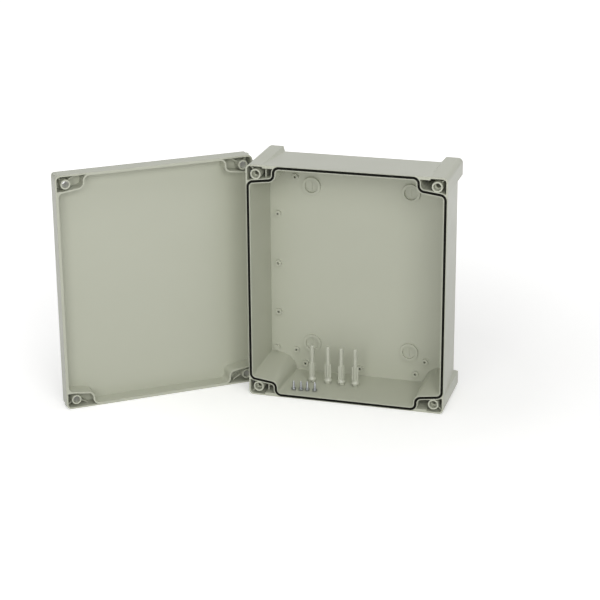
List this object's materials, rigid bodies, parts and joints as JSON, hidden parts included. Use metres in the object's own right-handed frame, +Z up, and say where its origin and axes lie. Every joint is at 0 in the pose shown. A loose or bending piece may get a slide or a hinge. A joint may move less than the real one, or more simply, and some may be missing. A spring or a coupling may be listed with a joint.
{
  "type": "hinged plastic enclosure",
  "caption": "Deep wall enclosure of light grey plastic with a gasketed rim, corner screw tubes, a hinged tray lid and its loose fixing screws.",
  "frame": {"origin": "centre of the four wall fixing holes, on the plane of the rear feet", "axes": "+X to the side away from the hinges, +Y out of the back towards the wall, +Z up"},
  "size_m": [0.5311, 0.2289, 0.344],
  "materials": {
    "enclosure_plastic": "moulded polycarbonate with a fine satin surface",
    "lid_plastic": "moulded polycarbonate with a fine satin surface",
    "gasket_rubber": "foamed-in polyurethane gasket, dull black",
    "lid_screw_plastic": "moulded glass-filled plastic, satin",
    "hinge_plastic": "moulded plastic, satin",
    "zinc_plated_steel": "bright zinc plating",
    "pin_steel": "drawn stainless wire"
  },
  "bodies": {
    "enclosure_base": {"base_shell": "enclosure_plastic", "gasket": "gasket_rubber", "base_leaf_upper": "hinge_plastic", "base_leaf_lower": "hinge_plastic", "base_pin_upper": "pin_steel", "base_pin_lower": "pin_steel", "base_leaf_screws_upper": "zinc_plated_steel", "base_leaf_screws_lower": "zinc_plated_steel"},
    "hinge_links": {"link_upper": "hinge_plastic", "link_lower": "hinge_plastic"},
    "lid": {"lid_shell": "lid_plastic", "lid_leaf_upper": "hinge_plastic", "lid_leaf_lower": "hinge_plastic", "lid_pin_upper": "pin_steel", "lid_pin_lower": "pin_steel", "lid_leaf_screws_upper": "zinc_plated_steel", "lid_leaf_screws_lower": "zinc_plated_steel"},
    "lid_screw_1": {"lid_screw_1": "lid_screw_plastic"},
    "lid_screw_2": {"lid_screw_2": "lid_screw_plastic"},
    "lid_screw_3": {"lid_screw_3": "lid_screw_plastic"},
    "lid_screw_4": {"lid_screw_4": "lid_screw_plastic"},
    "mounting_screw_1": {"mounting_screw_1": "zinc_plated_steel"},
    "mounting_screw_2": {"mounting_screw_2": "zinc_plated_steel"},
    "mounting_screw_3": {"mounting_screw_3": "zinc_plated_steel"},
    "mounting_screw_4": {"mounting_screw_4": "zinc_plated_steel"}
  },
  "joints": [
    {"name": "link_swing", "type": "hinge", "parent": "enclosure_base", "child": "hinge_links", "pos_m": [-0.1468, -0.081, 0], "axis": [0, 0, 1], "range_deg": [0, 176.5]},
    {"name": "lid_turn", "type": "hinge", "parent": "hinge_links", "child": "lid", "pos_m": [-0.14903, -0.04777, 0], "axis": [0, 0, 1], "range_deg": [-33.7, 0]},
    {"name": "lid_screw_1_lift", "type": "slide", "parent": "enclosure_base", "child": "lid_screw_1", "axis": [0, 0, 1], "range_m": [0, 0.06]},
    {"name": "lid_screw_2_lift", "type": "slide", "parent": "enclosure_base", "child": "lid_screw_2", "axis": [0, 0, 1], "range_m": [0, 0.06]},
    {"name": "lid_screw_3_lift", "type": "slide", "parent": "enclosure_base", "child": "lid_screw_3", "axis": [0, 0, 1], "range_m": [0, 0.06]},
    {"name": "lid_screw_4_lift", "type": "slide", "parent": "enclosure_base", "child": "lid_screw_4", "axis": [0, 0, 1], "range_m": [0, 0.06]},
    {"name": "mounting_screw_1_lift", "type": "slide", "parent": "enclosure_base", "child": "mounting_screw_1", "axis": [0, 0, 1], "range_m": [0, 0.04]},
    {"name": "mounting_screw_2_lift", "type": "slide", "parent": "enclosure_base", "child": "mounting_screw_2", "axis": [0, 0, 1], "range_m": [0, 0.04]},
    {"name": "mounting_screw_3_lift", "type": "slide", "parent": "enclosure_base", "child": "mounting_screw_3", "axis": [0, 0, 1], "range_m": [0, 0.04]},
    {"name": "mounting_screw_4_lift", "type": "slide", "parent": "enclosure_base", "child": "mounting_screw_4", "axis": [0, 0, 1], "range_m": [0, 0.04]}
  ],
  "couplings": [
    {"joint": "lid_turn", "follows": "link_swing", "ratio": -0.1909}
  ]
}
